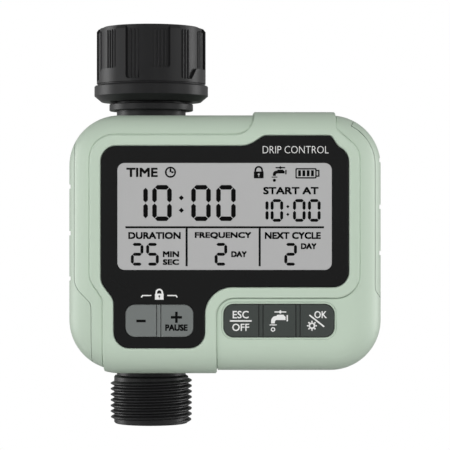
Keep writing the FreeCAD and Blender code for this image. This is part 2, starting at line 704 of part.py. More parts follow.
def filter_screen():
    """A moulded cone with a rim that sits inside the washer and rows of slots for the water."""
    cone = turned([
        (8.5, -0.4),
        (8.5, -1.6),
        (7.4, -1.6),
        (4.6, -10.5),
        (0.0, -10.5),
        (0.0, -9.7),
        (4.0, -9.7),
        (6.9, -1.0),
        (6.9, -0.4),
    ])
    slots = [box(x - 0.5, x + 0.5, -2.6, 2.6, -11, -9) for x in (-2.2, 0.0, 2.2)]
    count = 12
    for i in range(count):
        slot = box(-0.55, 0.55, 3.0, 9.0, -8.8, -3.0)
        slot.rotate(Vector(0, 0, 0), Vector(0, 0, 1), i * 360.0 / count)
        slots.append(slot)
    return cone.cut(slots)


def make_outlet():
    flange_z = BODY_Z0 - 0.02
    core = turned([
        (6.5, -65.4),
        (ORING_BED_R, -65.4),
        (ORING_BED_R, -70.0),
        (SPIGOT_R, -71.0),
        (SPIGOT_R, flange_z),
        (BODY_R, flange_z),
        (BODY_R, -83.0),
        (TUBE_R, -83.0),
        (TUBE_R, OUTLET_THREAD_TOP + 0.6),
        (MINOR_R, OUTLET_THREAD_TOP),
        *thread_turns(OUTLET_THREAD_TOP - 1.1, 8, MAJOR_R),
        (MINOR_R, OUTLET_END + 0.4),
        (MINOR_R - 0.4, OUTLET_END),
        (OUTLET_BORE_R + 0.8, OUTLET_END),
        (OUTLET_BORE_R, OUTLET_END + 0.8),
        (OUTLET_BORE_R, -82.0),
        (6.5, -78.0),
    ])
    core = core.cut(oring_groove(ORING_Z[1]))
    screws = []
    for x, y in flange_screws():
        core = core.cut(upright(1.0, -84, BODY_Z0 + 1, x, y))
        screws.append(screw((x, y, -83.0), (0, 0, 1), 1.5, 1.1, 0.75, 8.0))
    add("outlet_fitting", core)
    add("outlet_screws", group(screws))
    add("outlet_oring", pipe_oring(ORING_Z[1]))


def flange_screws():
    """(x, y) of the four screws that hold the outlet to the valve body."""
    turns = [math.radians(45 + 90 * i) for i in range(4)]
    return [(FLANGE_SCREW_R * math.cos(a), FLANGE_SCREW_R * math.sin(a)) for a in turns]


# ---------------------------------------------------------------- ball valve
def at_stem(dy=0.0, dz=0.0):
    """(y, z) of a line along X, from the stem's."""
    return dy, BALL_Z + dz


def along_x(r, x0, x1, centre):
    """A rod along X through centre (y, z)."""
    return rod(r, (x0, *centre), (x1, *centre))


def plate_screws():
    return [at_stem(y, z) for y in (-PLATE_SCREW, PLATE_SCREW) for z in (-PLATE_SCREW, PLATE_SCREW)]


def valve_body():
    body = turned([
        (11.25, BODY_Z1 + 8),
        (13.6, BODY_Z1 + 8),
        (13.6, BODY_Z1),
        (BODY_R, BODY_Z1 - 1.5),
        (BODY_R, BODY_Z0),
        (SPIGOT_R + 0.02, BODY_Z0),
        (SPIGOT_R + 0.02, -70.9),
        (CHAMBER_R, -70.2),
        (CHAMBER_R, -45.0),
        (6.4, -45.0),
        (6.4, -43.5),
        (CHAMBER_R, -43.5),
        (CHAMBER_R, -31.2),
        (11.25, -30.2),
    ])
    pieces = [body, box(8.0, BASE_X, -9.5, 9.5, BALL_Z - 9.5, BALL_Z + 9.5)]
    for x, z in VALVE_EARS:
        near, far = sorted((x * 0.45, x * 1.167))
        pieces.append(box(near, far, EAR_Y0, EAR_Y1, z - 3, z + 3))
    pieces.append(box(-17.0, -13.0, -1.0, 1.0, BODY_Z0 + 3, BODY_Z1 - 4))
    body = joined(pieces)
    body = body.cut(upright(CHAMBER_R, -70.5, -45.0)).cut(upright(CHAMBER_R, -43.5, -31.2))
    body = body.cut(upright(SPIGOT_R + 0.02, BODY_Z0 - 1, -70.9))
    slot = pipe(BODY_R + 1, 11.0, (0, 0, CLIP_Z0 - 0.1), (0, 0, CLIP_Z1 + 0.1))
    body = body.cut(slot.cut(box(-6.4, 6.4, 2.0, 20, CLIP_Z0 - 2, CLIP_Z1 + 2)))
    body = body.cut(along_x(STEM_R + 0.05, 5.0, 30.0, at_stem()))
    for x, z in VALVE_EARS:
        body = body.cut(rod(1.2, (x, EAR_Y0 - 1, z), (x, EAR_Y1 + 1, z)))
    for centre in plate_screws():
        body = body.cut(along_x(0.8, 11.5, 30, centre))
    for x, y in flange_screws():
        body = body.cut(upright(0.8, BODY_Z0 - 1, BODY_Z0 + 6.5, x, y))
    return body


def make_valve():
    add("valve_body", valve_body())
    add("valve_screws", group([screw((x, EAR_Y0, z), (0, 1, 0), 2.3, 1.3, 0.95, 9.5) for x, z in VALVE_EARS]))
    centre = Vector(0, 0, BALL_Z)
    tongue_t = 3.0
    ball = Part.makeSphere(BALL_R, centre)
    ball = ball.cut(rod(BALL_BORE_R, (0, -BALL_R - 2, BALL_Z), (0, BALL_R + 2, BALL_Z)))
    slot_z = tongue_t / 2 + 0.05
    add("valve_ball", ball.cut(box(6.6, BALL_R + 2, -5.2, 5.2, BALL_Z - slot_z, BALL_Z + slot_z)))
    socket = Part.makeSphere(BALL_R + 0.05, centre)
    seat_r = CHAMBER_R - 0.05
    add("upper_seat", pipe(seat_r, 6.2, (0, 0, -49.6), (0, 0, -45.05)).cut(socket))
    add("lower_seat", pipe(seat_r, 6.6, (0, 0, -65.35), (0, 0, -60.4)).cut(socket))
    add("valve_stem", valve_stem(tongue_t))
    rings = []
    for x in STEM_RINGS_X:
        squeezed = stem_ring(0.7, x).common(along_x(STEM_R + 0.03, x - 1, x + 1, at_stem()))
        rings.append(squeezed.Solids[0])
    add("stem_orings", group(rings))


def stem_ring(section_r, x):
    return ring(STEM_R, section_r, (x, *at_stem()), (1, 0, 0))


def valve_stem(tongue_t):
    """From the tongue in the ball's slot to the square under the output gear and the pin past it."""
    tongue = box(6.7, 10.6, -5.1, 5.1, BALL_Z - tongue_t / 2, BALL_Z + tongue_t / 2)
    tongue = tongue.common(Part.makeSphere(BALL_R + 0.35, Vector(0, 0, BALL_Z)))
    tongue = tongue.common(along_x(STEM_R + 1.7, 5, 12, at_stem()))
    gear_x0, gear_x1 = LAYERS[0]
    square = SQUARE / 2
    stem = joined([
        tongue,
        along_x(STEM_R, BALL_R + 0.05, gear_x0 - 0.1, at_stem()),
        box(gear_x0 - 0.8, gear_x1, -square, square, BALL_Z - square, BALL_Z + square),
        along_x(1.5, gear_x1 - 0.5, COVER_X + COVER_T - 0.2, at_stem()),
    ])
    for x in STEM_RINGS_X:
        stem = stem.cut(stem_ring(0.75, x))
    return stem


# ---------------------------------------------------------------- gearbox
def involute(r, base_r):
    """How far round an involute from a circle of base_r has come at radius r."""
    lean = math.acos(base_r / r)
    return math.tan(lean) - lean


def gear(teeth, x0, x1, centre, phase):
    """A spur gear about an axis along X, one tooth centred at angle phase, from +Y towards +Z."""
    pitch_r = MODULE * teeth / 2
    base_r = pitch_r * math.cos(PRESSURE)
    tip_r, root_r = pitch_r + 0.8 * MODULE, pitch_r - 1.1 * MODULE
    half = math.pi / (2 * teeth) - BACKLASH / (4 * pitch_r) + involute(pitch_r, base_r)
    low = max(base_r, root_r + 0.05)
    radii = [low + (tip_r - low) * i / 4 for i in range(5)]
    flank = [(r, half - involute(r, base_r)) for r in radii]
    tooth = [(root_r, flank[0][1] + 0.01), *flank]
    corners = []
    for i in range(teeth):
        middle = phase + 2 * math.pi * i / teeth
        corners += [(r, middle - a) for r, a in tooth]
        corners += [(r, middle + a) for r, a in reversed(tooth)]
    points = [Vector(x0, centre[0] + r * math.cos(a), centre[1] + r * math.sin(a)) for r, a in corners]
    face = Part.Face(Part.makePolygon(points + points[:1]))
    return face.extrude(Vector(x1 - x0, 0, 0))


def mesh_phase(angle, from_teeth, from_phase, teeth):
    """Phase of a gear whose teeth fall in the gaps of a neighbour that sees it at angle."""
    from_pitch, pitch = 2 * math.pi / from_teeth, 2 * math.pi / teeth
    return angle + math.pi - pitch * ((from_phase - angle) / from_pitch + 0.5)


def double_gear(pinion_layer, gear_layer, centre, phase, bore_r):
    """A 12-tooth pinion and a 36-tooth gear in one, turning on an axle."""
    (p0, p1), (g0, g1) = pinion_layer, gear_layer
    both = joined([gear(PINION_TEETH, p0, g0 + 0.01, centre, phase), gear(GEAR_TEETH, g0, g1, centre, phase)])
    return both.cut(along_x(bore_r, p0 - 1, g1 + 1, centre))


def make_gears():
    to_idler = math.atan2(IDLER_Z - BALL_Z, IDLER_Y)
    to_motor = math.atan2(MOTOR_Z - BALL_Z, MOTOR_Y)
    low, middle, high = LAYERS
    square = SQUARE / 2 + 0.05
    output = gear(GEAR_TEETH, *low, at_stem(), 0.0)
    output = output.cut(box(low[0] - 1, low[1] + 1, -square, square, BALL_Z - square, BALL_Z + square))
    add("output_gear", output)
    idler_phase = mesh_phase(to_idler, GEAR_TEETH, 0.0, PINION_TEETH)
    add("idler_gear", double_gear(low, middle, IDLER_AT, idler_phase, 1.05))
    first_phase = mesh_phase(to_idler + math.pi, GEAR_TEETH, idler_phase, PINION_TEETH)
    add("reduction_gear", double_gear(middle, high, at_stem(), first_phase, 1.55))
    motor_phase = mesh_phase(to_motor, GEAR_TEETH, first_phase, PINION_TEETH)
    pinion = gear(PINION_TEETH, high[0], high[1] + 0.2, MOTOR_AT, motor_phase)
    add("motor_pinion", pinion.cut(along_x(MOTOR_SHAFT_R, high[0] - 1, high[1] + 1, MOTOR_AT)))
    add("motor_shaft", along_x(MOTOR_SHAFT_R, high[0] - 0.2, MOTOR_END_X + 0.8, MOTOR_AT))
    add("idler_axle", along_x(1.0, BASE_X + 0.3, COVER_X + COVER_T, IDLER_AT))


def gear_plate(x0, x1):
    y0, y1, z0, z1 = GEARCASE

    def runs_along_x(edge):
        return abs(edge.BoundBox.XLength - (x1 - x0)) < 1e-6

    return rounded(box(x0, x1, y0, y1, z0, z1), 2.4, runs_along_x)


def motor_lines(distance):
    """The two lines along X that stand distance above and below the motor's axis."""
    return [(MOTOR_Y, MOTOR_Z + distance * side) for side in (-1, 1)]


def gearbox_base():
    base = gear_plate(BASE_X, BASE_X + BASE_T)
    posts = [along_x(2.0, BASE_X + 0.5, COVER_X, post) for post in POSTS]
    bush = along_x(2.2, BASE_X + 0.5, LAYERS[0][0] - 0.1, IDLER_AT)
    base = joined([base, bush, *posts])
    base = base.cut(along_x(4.0, BASE_X - 1, BASE_X + 3, at_stem()))
    base = base.cut(along_x(1.0, BASE_X + 0.3, COVER_X, IDLER_AT))
    for post in POSTS:
        base = base.cut(along_x(0.7, COVER_X - 7, COVER_X + 1, post))
    for y, z in plate_screws():
        base = base.cut(along_x(1.0, BASE_X - 1, BASE_X + 3, (y, z)))
        base = base.cut(Part.makeCone(1.0, 1.9, 1.0, Vector(BASE_X + BASE_T - 0.95, y, z), Vector(1, 0, 0)))
    return base


def countersunk_screw(y, z):
    """A slotted flat-head screw through the base plate into the valve body."""
    top = BASE_X + BASE_T
    head = Part.makeCone(0.75, 1.8, 0.95, Vector(top - 0.95, y, z), Vector(1, 0, 0))
    shank = along_x(0.75, BASE_X - 5.5, top - 0.9, (y, z))
    return head.fuse(shank).cut(box(top - 0.4, top + 1, y - 1.2, y + 1.2, z - 0.2, z + 0.2))


def gearbox_cover():
    cover = gear_plate(COVER_X, COVER_X + COVER_T)
    holes = [(1.55, at_stem()), (1.0, IDLER_AT), (2.1, MOTOR_AT)]
    holes += [(0.95, post) for post in POSTS]
    holes += [(0.9, line) for line in motor_lines(MOTOR_SCREW)]
    for r, centre in holes:
        cover = cover.cut(along_x(r, COVER_X - 1, COVER_X + 3, centre))
    return cover


def make_gearbox():
    add("gearbox_base", gearbox_base())
    add("gearbox_cover", gearbox_cover())
    top = COVER_X + COVER_T
    into_posts = [screw((top, *post), (-1, 0, 0), 1.7, 1.1, 0.68, 7.5) for post in POSTS]
    add("gearbox_screws", group([countersunk_screw(*at) for at in plate_screws()] + into_posts))
    add("motor_can", motor_can())
    lines = motor_lines(MOTOR_SCREW)
    add("motor_screws", group([screw((COVER_X, *line), (1, 0, 0), 1.2, 0.6, 0.6, 3.4) for line in lines]))
    switch = box(BASE_X + BASE_T, 25.0, -14.9, -12.4, -67.0, -58.6)
    lever = box(20.2, 23.8, -12.4, -12.0, -66.4, -57.6)
    add("position_switch", joined([switch, lever]))


def motor_can():
    """A small flat-sided direct-current motor, with a bearing boss at each end and two tags."""
    x0, x1 = COVER_X + COVER_T, MOTOR_END_X
    can = along_x(MOTOR_R, x0, x1, MOTOR_AT)
    can = can.common(box(x0, x1, MOTOR_Y - 5.0, MOTOR_Y + 5.0, MOTOR_Z - MOTOR_R, MOTOR_Z + MOTOR_R))
    bosses = [along_x(2.0, COVER_X + 0.3, x0 + 0.5, MOTOR_AT), along_x(2.4, x1 - 0.5, x1 + 0.7, MOTOR_AT)]
    pieces = [can, *bosses]
    for y, z in motor_lines(MOTOR_TAG):
        pieces.append(box(x1 - 0.5, x1 + TAG_REACH, y - 0.9, y + 0.9, z - 0.2, z + 0.2))
    can = joined(pieces).cut(along_x(MOTOR_SHAFT_R + 0.05, x0 - 3, x1 + 3, MOTOR_AT))
    for line in motor_lines(MOTOR_SCREW):
        can = can.cut(along_x(0.6, x0 - 1, x0 + 2.2, line))
    return can


# ---------------------------------------------------------------- battery bay
def cell_centres():
    """(x, y, which way up) of each cell."""
    mid = (BAY[0] + BAY[1]) / 2
    rear_y = BACK_Y - DOOR_T - 1.2 - CELL_R
    places = []
    for row in (0, 1):
        for side in (-1, 1):
            places.append((mid + side * CELL_PITCH / 2, rear_y - row * CELL_PITCH, side * (1 - 2 * row)))
    return places


def turned_over(z, up):
    """A height in the bay, or its mirror image for a cell that stands on its head."""
    return z if up > 0 else BAY[2] + BAY[3] - z


def make_batteries():
    z0, z1 = BAY[2], BAY[3]
    plate_t = 0.33
    nub_end = z1 - plate_t - 0.02
    foot = nub_end - CELL_L
    shoulder = nub_end - 1.1
    profile = [
        (0, foot),
        (CELL_R - 0.6, foot),
        (CELL_R, foot + 0.6),
        (CELL_R, shoulder - 0.8),
        (CELL_R - 0.8, shoulder),
        (2.75, shoulder),
        (2.75, nub_end - 0.2),
        (2.4, nub_end),
        (0, nub_end),
    ]
    cells, springs, plates = [], [], []
    for x, y, up in cell_centres():
        cells.append(turned([(r, turned_over(z, up)) for r, z in profile], x, y))
        ends = turned_over(z0 + plate_t + 0.02, up), turned_over(foot - 0.02, up)
        springs.append(contact_spring(x, y, min(ends), max(ends)))
        for low in (z0, z1 - plate_t):
            plates.append(box(x - 5.5, x + 5.5, y - 5.5, y + 5.5, low, low + plate_t))
    for x in LEAD_X:
        plates.append(box(x - 1.0, x + 1.0, 7.6, 8.0, z1 - plate_t, z1 + 3.6))
    add("battery_cells", group(cells))
    add("battery_springs", group(springs))
    add("battery_contacts", joined(plates))


def contact_spring(x, y, z0, z1):
    """A short coil of eight-sided wire between the contact plate and the flat end of a cell."""
    wire_r, coil_r, turns, sides = 0.3, 4.2, 2, 8
    rise = z1 - z0 - 2 * wire_r
    helix = Part.makeHelix(rise / turns, rise, coil_r)
    angles = [2 * math.pi * i / sides for i in range(sides + 1)]
    corners = [Vector(coil_r + wire_r * math.cos(a), 0, wire_r * math.sin(a)) for a in angles]
    coil = Part.Wire(helix.Edges).makePipeShell([Part.makePolygon(corners)], True, True)
    coil.translate(Vector(x, y, z0 + wire_r))
    return coil


def make_door():
    x0, x1, z0, z1 = DOOR
    y0 = BACK_Y - DOOR_T
    end_gap = 3.2  # from each side of the door to its hinge barrel
    plate = rounded(prism(rectangle(x0, x1, z0, z1, 2.0), y0, BACK_Y), 0.5, at_depth(BACK_Y))
    neck = box(x0 + end_gap, x1 - end_gap, y0, BACK_Y, z1 - 1.0, HINGE_Z)
    pieces = [plate, neck, hinge_rod(HINGE_R, end_gap)]
    for i in range(5):
        rib_x = x0 + 6 + 5.25 * i
        pieces.append(box(rib_x, rib_x + 0.8, y0 - 0.9, y0 + 0.2, BAY[2] + 6, BAY[3] - 6))
    door = joined(pieces)
    for i in range(4):
        groove_z = z0 + 4.0 + 1.8 * i
        door = door.cut(box(x0 + 9, x1 - 9, BACK_Y - 0.45, BACK_Y + 1, groove_z, groove_z + 0.8))
    for a, b in ((x0 - 1, x0 + end_gap), (x1 - end_gap, x1 + 1)):
        door = door.cut(box(a, b, y0 - 1, BACK_Y + 1, HINGE_Z - HINGE_R - 0.5, HINGE_Z + 3))
    add("battery_door", door.cut(hinge_rod(HINGE_PIN_R + 0.05, -1.0)))
    add("door_hinge_pin", hinge_rod(HINGE_PIN_R, 1.0))
    seal = bay_box(1.95, y0 - 0.75, y0 - 0.05, 1.6)
    add("door_seal", seal.cut(bay_box(0.85, y0 - 2, y0 + 2, 1.2)))


# ---------------------------------------------------------------- wires
def wire_tube(points, r):
    """Straight runs joined by tangent arcs, each as large as the two runs beside it allow."""
    points = [Vector(*p) for p in points]
    edges, start = [], points[0]
    for before, corner, after in zip(points, points[1:], points[2:]):
        u, v = (before - corner).normalize(), (after - corner).normalize()
        turn = math.pi - math.acos(u.dot(v))
        reach = 0.45 * min((before - corner).Length, (after - corner).Length)
        radius = reach / math.tan(turn / 2)
        w = (u + v).normalize()
        middle = corner + w * (radius / math.cos(turn / 2) - radius)
        edges.append(Part.LineSegment(start, corner + u * reach).toShape())
        edges.append(Part.Arc(corner + u * reach, middle, corner + v * reach).toShape())
        start = corner + v * reach
    edges.append(Part.LineSegment(start, points[-1]).toShape())
    path = Part.Wire(edges)
    section = Part.Wire(Part.makeCircle(r, points[0], points[1] - points[0]).Edges)
    tube = path.makePipeShell([section], True, False)
    expected = path.Length * math.pi * r * r
    if abs(tube.Volume - expected) > 0.02 * expected:
        raise ValueError("a wire's volume is not its section times its length")
    return tube


def make_wires():
    tag_x = MOTOR_END_X + TAG_REACH + 0.05
    leads = []
    for y, z in motor_lines(MOTOR_TAG):
        drop_x = tag_x + 4.5 + (z - MOTOR_Z) / 3
        points = [(tag_x, y, z), (tag_x + 4, y, z), (drop_x + 1, -13.0, z)]
        points += [(drop_x, depth, z) for depth in (-16.0, BOARD_Y1)]
        leads.append(wire_tube(points, 0.5))
    add("motor_leads", group(leads))
    top = BAY[3] + BAY_WALL + 1.5
    leads = []
    for x in LEAD_X:
        points = [(x, 7.6, top), (x, -7.0, top), (x, -13.0, top - 8.0), (x, BOARD_Y1, top - 8.0)]
        leads.append(wire_tube(points, 0.55))
    add("battery_leads", group(leads))


def main():
    make_housing()
    make_display()
    make_board()
    make_keys()
    make_nut()
    make_inlet()
    make_outlet()
    make_valve()
    make_gears()
    make_gearbox()
    make_batteries()
    make_door()
    make_wires()
    os.makedirs("parts", exist_ok=True)
    for name, shape in PARTS.items():
        if not shape.Solids or any(not s.isValid() or s.Volume <= 0 for s in shape.Solids):
            raise ValueError(f"{name} has a broken solid")
        shape.exportStep(f"parts/{name}.step")
    print(len(PARTS), "nodes")


main()
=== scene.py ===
"""Looks of the hose-end irrigation timer.

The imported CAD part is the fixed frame. The plastics and metals, the printed lens, the display, the key
legends and the outlet's thread are made round it. Shapes are in millimetres of that frame and are turned into
metres where a mesh is made. The lights, the floor and the camera are placed in metres.
"""

import json
import math

import bmesh
import bpy
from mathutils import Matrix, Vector


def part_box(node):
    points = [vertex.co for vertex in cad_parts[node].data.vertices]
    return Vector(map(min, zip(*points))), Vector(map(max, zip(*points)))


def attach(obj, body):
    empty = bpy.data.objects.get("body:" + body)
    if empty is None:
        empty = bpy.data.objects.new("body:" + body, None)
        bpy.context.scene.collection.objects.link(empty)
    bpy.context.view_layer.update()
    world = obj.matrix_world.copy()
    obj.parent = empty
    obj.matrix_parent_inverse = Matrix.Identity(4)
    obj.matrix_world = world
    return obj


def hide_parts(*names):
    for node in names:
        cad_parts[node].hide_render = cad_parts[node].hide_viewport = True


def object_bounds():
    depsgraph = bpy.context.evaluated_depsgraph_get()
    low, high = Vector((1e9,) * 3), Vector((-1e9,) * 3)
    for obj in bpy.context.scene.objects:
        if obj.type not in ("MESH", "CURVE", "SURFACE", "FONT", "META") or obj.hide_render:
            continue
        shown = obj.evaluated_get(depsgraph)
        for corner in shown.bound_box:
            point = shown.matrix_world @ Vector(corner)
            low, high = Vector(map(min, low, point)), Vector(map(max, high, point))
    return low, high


MM = 0.001
PRINT_T = 0.02  # how far ink stands off its surface
PRINT_SINK = 0.05  # how far it reaches into it
LAYER_T = 0.001  # step between strikes of one word, so that no two faces lie in one plane

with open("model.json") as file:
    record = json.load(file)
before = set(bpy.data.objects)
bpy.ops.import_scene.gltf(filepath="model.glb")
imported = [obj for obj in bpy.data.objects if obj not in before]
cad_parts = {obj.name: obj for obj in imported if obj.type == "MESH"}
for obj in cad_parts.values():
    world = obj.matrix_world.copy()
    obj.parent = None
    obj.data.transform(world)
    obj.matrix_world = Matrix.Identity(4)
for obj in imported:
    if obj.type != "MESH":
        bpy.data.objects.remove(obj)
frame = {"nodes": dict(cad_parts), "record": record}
cad_box = [list(corner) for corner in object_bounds()]


def box_mm(node):
    low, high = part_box(node)
    return low / MM, high / MM


# ---------------------------------------------------------------- materials
def nodes_of(name):
    """A new material, its node tree, its shader and the place on the object that its textures follow."""
    mat = bpy.data.materials.new(name)
    mat.use_nodes = True
    tree = mat.node_tree
    shader = tree.nodes["Principled BSDF"]
    place = tree.nodes.new("ShaderNodeTexCoord")
    return mat, tree, shader, place.outputs["Object"]


def noise(tree, where, size_mm, detail=2.0):
    """Noise whose features are about size_mm across."""
    node = tree.nodes.new("ShaderNodeTexNoise")
    node.inputs["Scale"].default_value = 1.0 / (size_mm * MM)
    node.inputs["Detail"].default_value = detail
    tree.links.new(where, node.inputs["Vector"])
    return node.outputs["Fac"]


def spread(tree, value, low, high, from_low=0.3, from_high=0.7):
    """The value stretched from its own range to low..high."""
    node = tree.nodes.new("ShaderNodeMapRange")
    node.inputs["From Min"].default_value = from_low
    node.inputs["From Max"].default_value = from_high
    node.inputs["To Min"].default_value = low
    node.inputs["To Max"].default_value = high
    tree.links.new(value, node.inputs["Value"])
    return node.outputs["Result"]


def blend_colours(tree, factor, dark, light):
    node = tree.nodes.new("ShaderNodeMix")
    node.data_type = "RGBA"
    tree.links.new(factor, node.inputs["Factor"])
    node.inputs["A"].default_value = (*dark, 1)
    node.inputs["B"].default_value = (*light, 1)
    return node.outputs["Result"]


def bumped(tree, shader, height, depth_mm):
    node = tree.nodes.new("ShaderNodeBump")
    node.inputs["Strength"].default_value = 1.0
    node.inputs["Distance"].default_value = depth_mm * MM
    tree.links.new(height, node.inputs["Height"])
    tree.links.new(node.outputs["Normal"], shader.inputs["Normal"])


DRIFT_MM = 18.0  # size of the slow drift in a surface's colour


def surface(name, colour, roughness, grain_mm=0.25, depth_mm=0.01, mottle=0.04, metallic=0.0, coat=0.0,
            specular=0.5, sheen=0.0):
    """A moulded, cast or drawn surface: grain in its relief, slow drift in its colour and its gloss."""
    mat, tree, shader, where = nodes_of(name)
    shader.inputs["Metallic"].default_value = metallic
    shader.inputs["Coat Weight"].default_value = coat
    shader.inputs["Coat Roughness"].default_value = 0.05
    shader.inputs["Specular IOR Level"].default_value = specular
    shader.inputs["Sheen Weight"].default_value = sheen
    drift = noise(tree, where, DRIFT_MM, 3.0)
    dark = [c * (1 - mottle) for c in colour]
    light = [min(1.0, c * (1 + mottle)) for c in colour]
    tree.links.new(blend_colours(tree, drift, dark, light), shader.inputs["Base Color"])
    grain = noise(tree, where, grain_mm, 4.0)
    gloss = spread(tree, grain, roughness * 0.88, min(1.0, roughness * 1.12))
    tree.links.new(gloss, shader.inputs["Roughness"])
    bumped(tree, shader, grain, depth_mm)
    return mat


def brushed(name, colour, roughness):
    """Metal with fine scratches that run along Z."""
    mat, tree, shader, where = nodes_of(name)
    shader.inputs["Metallic"].default_value = 1.0
    stretch = tree.nodes.new("ShaderNodeMapping")
    stretch.inputs["Scale"].default_value = (1.0, 1.0, 0.05)
    tree.links.new(where, stretch.inputs["Vector"])
    lines = noise(tree, stretch.outputs["Vector"], 0.15, 3.0)
    tone = blend_colours(tree, lines, [c * 0.85 for c in colour], colour)
    tree.links.new(tone, shader.inputs["Base Color"])
    tree.links.new(spread(tree, lines, roughness * 0.8, roughness * 1.3), shader.inputs["Roughness"])
    bumped(tree, shader, lines, 0.004)
    return mat


def board_look(name, colour):
    """Solder mask over copper tracks that run square to each other."""
    mat, tree, shader, where = nodes_of(name)
    shader.inputs["Coat Weight"].default_value = 0.4
    tracks = tree.nodes.new("ShaderNodeTexBrick")
    tracks.inputs["Scale"].default_value = 1.0
    tracks.inputs["Brick Width"].default_value = 6.0 * MM
    tracks.inputs["Row Height"].default_value = 1.6 * MM
    tracks.inputs["Mortar Size"].default_value = 0.18 * MM
    tracks.inputs["Color1"].default_value = (*colour, 1)
    tracks.inputs["Color2"].default_value = (*[c * 0.9 for c in colour], 1)
    tracks.inputs["Mortar"].default_value = (*[min(1, c * 2.2) for c in colour], 1)
    turn = tree.nodes.new("ShaderNodeMapping")
    turn.inputs["Rotation"].default_value = (math.pi / 2, 0, 0)
    tree.links.new(where, turn.inputs["Vector"])
    tree.links.new(turn.outputs["Vector"], tracks.inputs["Vector"])
    tree.links.new(tracks.outputs["Color"], shader.inputs["Base Color"])
    tree.links.new(spread(tree, noise(tree, where, 0.4), 0.3, 0.45), shader.inputs["Roughness"])
    bumped(tree, shader, tracks.outputs["Fac"], 0.02)
    return mat


CELL_METAL = (0.62, 0.62, 0.6)
CELL_BAND = (0.75, 0.76, 0.74)


def cell_look(name, colour):
    """A cell's printed sleeve between bare metal ends, banded along its length."""
    mat, tree, shader, where = nodes_of(name)
    low, high = box_mm("battery_cells")
    split = tree.nodes.new("ShaderNodeSeparateXYZ")
    tree.links.new(where, split.inputs["Vector"])
    ramp = tree.nodes.new("ShaderNodeValToRGB")
    ramp.color_ramp.interpolation = "CONSTANT"
    stops = ((0.0, CELL_METAL), (0.055, colour), (0.2, CELL_BAND), (0.24, colour), (0.76, CELL_BAND),
             (0.8, colour), (0.945, CELL_METAL))
    for i, (at, shade) in enumerate(stops):
        stop = ramp.color_ramp.elements[0] if i == 0 else ramp.color_ramp.elements.new(at)
        stop.position = at
        stop.color = (*shade, 1)
    ramp.color_ramp.elements.remove(ramp.color_ramp.elements[-1])
    along = spread(tree, split.outputs["Z"], 0.0, 1.0, low.z * MM, high.z * MM)
    tree.links.new(along, ramp.inputs["Fac"])
    tree.links.new(ramp.outputs["Color"], shader.inputs["Base Color"])
    tree.links.new(spread(tree, noise(tree, where, 6.0), 0.26, 0.3), shader.inputs["Roughness"])
    bumped(tree, shader, noise(tree, where, 5.0), 0.01)
    return mat


SAGE = (0.50, 0.60, 0.495)
BLACK = (0.009, 0.009, 0.0095)


def make_materials():
    """One look for each material slot of the record, and those of the pieces added here."""
    return {
        "shell_green": surface("shell_green", SAGE, 0.46, 0.35, 0.006, 0.015, specular=0.45),
        "rear_green": surface("rear_green", [c * 0.97 for c in SAGE], 0.5, 0.35, 0.008, 0.015, specular=0.45),
        "lens_black": surface("lens_black", (0.006, 0.0062, 0.0062), 0.1, 0.9, 0.0005, 0.1, specular=0.22),
        "lcd_glass": surface("lcd_glass", (0.42, 0.42, 0.42), 0.35, 0.6, 0.001, 0.012, coat=0.35),
        "lcd_frame": surface("lcd_frame", (0.82, 0.82, 0.79), 0.4),
        "zebra_rubber": surface("zebra_rubber", (0.2, 0.2, 0.21), 0.7, 0.1),
        "board_green": board_look("board_green", (0.02, 0.14, 0.06)),
        "chip_black": surface("chip_black", (0.02, 0.02, 0.022), 0.55, 0.12),
        "capacitor_can": brushed("capacitor_can", (0.8, 0.81, 0.82), 0.3),
        "key_grey": surface("key_grey", (0.155, 0.168, 0.163), 0.55, 0.18, 0.008, 0.02, sheen=0.05),
        "key_dark": surface("key_dark", (0.040, 0.047, 0.043), 0.55, 0.18, 0.008, 0.02, sheen=0.05),
        "black_plastic": surface("black_plastic", BLACK, 0.42, 0.22, 0.004, 0.08, specular=0.3),
        "white_acetal": surface("white_acetal", (0.8, 0.8, 0.78), 0.35, 0.3),
        "ivory_plastic": surface("ivory_plastic", (0.62, 0.59, 0.48), 0.45, 0.3),
        "seal_rubber": surface("seal_rubber", (0.02, 0.02, 0.02), 0.6, 0.2, sheen=0.1),
        "seat_ptfe": surface("seat_ptfe", (0.82, 0.82, 0.81), 0.35, 0.4),
        "brass": brushed("brass", (0.68, 0.48, 0.2), 0.28),
        "stainless": brushed("stainless", (0.62, 0.62, 0.61), 0.3),
        "zinc_steel": brushed("zinc_steel", (0.55, 0.57, 0.6), 0.35),
        "nickel_spring": brushed("nickel_spring", (0.72, 0.7, 0.66), 0.22),
        "motor_steel": brushed("motor_steel", (0.52, 0.53, 0.55), 0.4),
        "battery_wrap": cell_look("battery_wrap", (0.03, 0.12, 0.22)),
        "wire_red": surface("wire_red", (0.5, 0.02, 0.015), 0.35, 0.5, coat=0.2),
        "ink_black": surface("ink_black", (0.003, 0.003, 0.003), 0.7, 0.2, 0.001, specular=0.08),
        "ink_white": surface("ink_white", (0.78, 0.78, 0.77), 0.5, 0.2, 0.001),
    }


